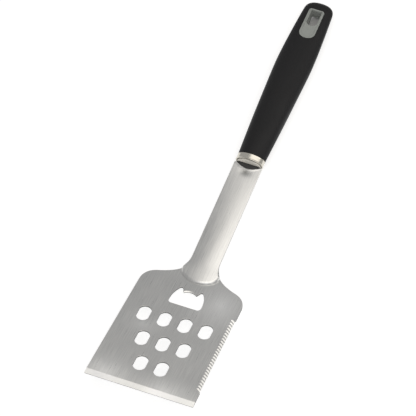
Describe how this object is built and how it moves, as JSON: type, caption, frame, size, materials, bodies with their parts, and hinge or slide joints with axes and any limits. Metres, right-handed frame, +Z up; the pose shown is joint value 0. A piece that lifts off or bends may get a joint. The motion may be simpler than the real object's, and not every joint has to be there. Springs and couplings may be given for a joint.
{
  "type": "grill spatula",
  "caption": "Slotted steel grill turner with a bottle opener in the blade, a sawtooth side edge, a crowned rising neck and a soft black handle with a hanging hole.",
  "frame": {"origin": "middle of the object's outline in plan, on the surface that it rests on", "axes": "+Y runs from the blade's front edge to the end of the handle, +Z is up off the table, +X is towards the sawtooth side edge"},
  "size_m": [0.0984, 0.4212, 0.0276],
  "materials": {
    "steel": "brushed along the length of the blade",
    "ferrule_chrome": "polished",
    "ferrule_satin": "satin",
    "handle_plastic": "moulded, slightly glossy",
    "grip_rubber": "soft-touch, fine grain",
    "liner_grey": "moulded, satin"
  },
  "bodies": {
    "root": {"blade_and_neck": "steel", "ferrule_ring": "ferrule_chrome", "ferrule_face": "ferrule_satin", "handle_core": "handle_plastic", "soft_grip": "grip_rubber", "hang_liner_top": "liner_grey", "hang_liner_bottom": "liner_grey"}
  },
  "joints": []
}
